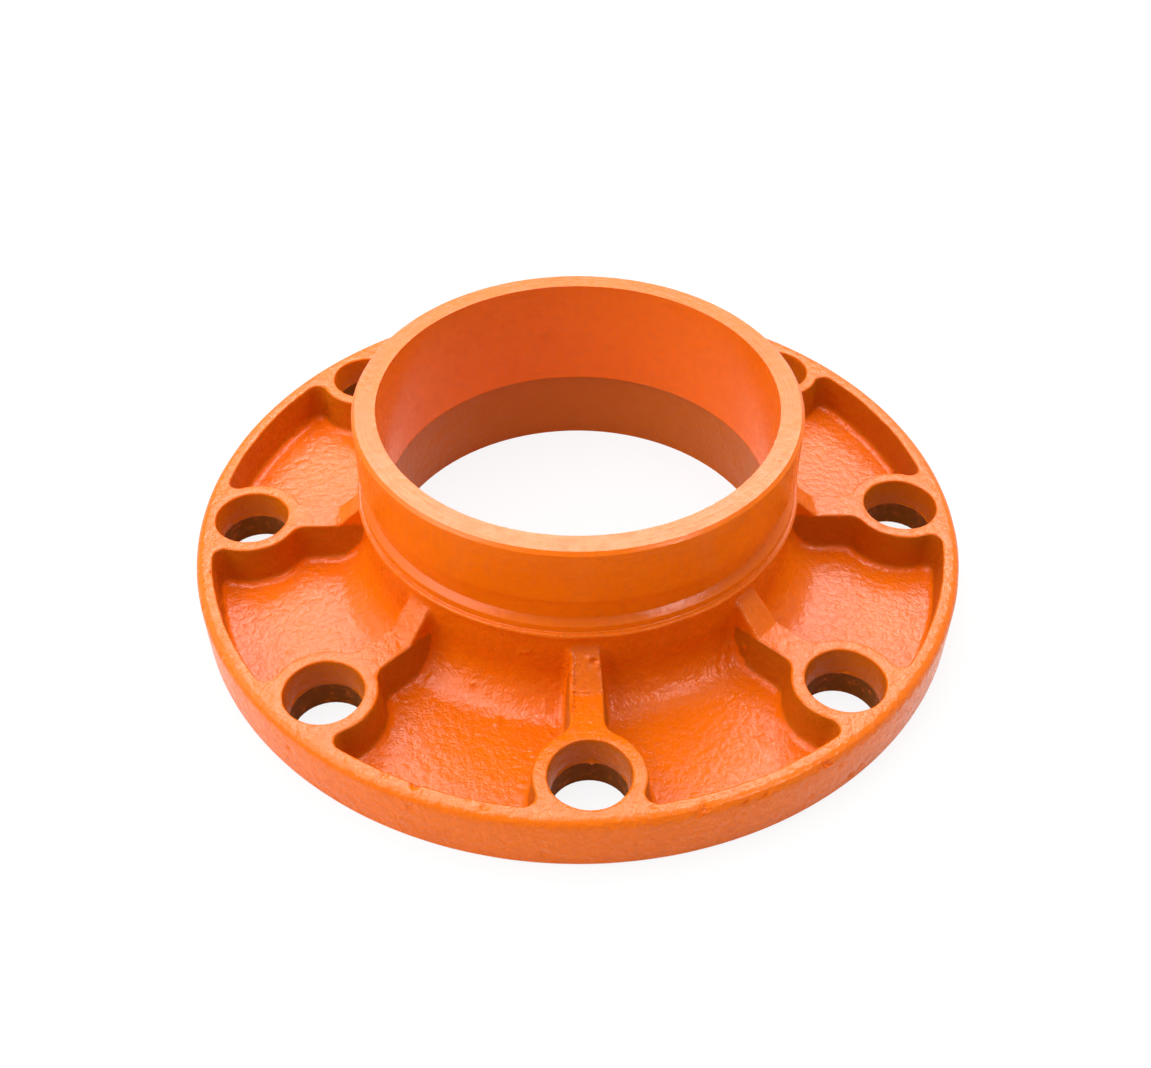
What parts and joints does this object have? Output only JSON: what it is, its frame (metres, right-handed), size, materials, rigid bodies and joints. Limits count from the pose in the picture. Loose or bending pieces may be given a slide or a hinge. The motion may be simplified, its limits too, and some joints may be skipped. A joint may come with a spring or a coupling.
{
  "type": "adapter flange",
  "caption": "Round cast pipe flange adapter: ribbed web and rim with a ring of bolt bosses round a short flared neck that ends in a machined grooved coupling end.",
  "frame": {"origin": "centre of the flange face, on the neck's axis", "axes": "+Z along the neck, from the flange face to the grooved end; one bolt hole on +Y"},
  "size_m": [0.25, 0.25, 0.066],
  "materials": {
    "painted_casting": "glossy orange enamel over as-cast ductile iron"
  },
  "bodies": {
    "root": {"flange_casting": "painted_casting"}
  },
  "joints": []
}
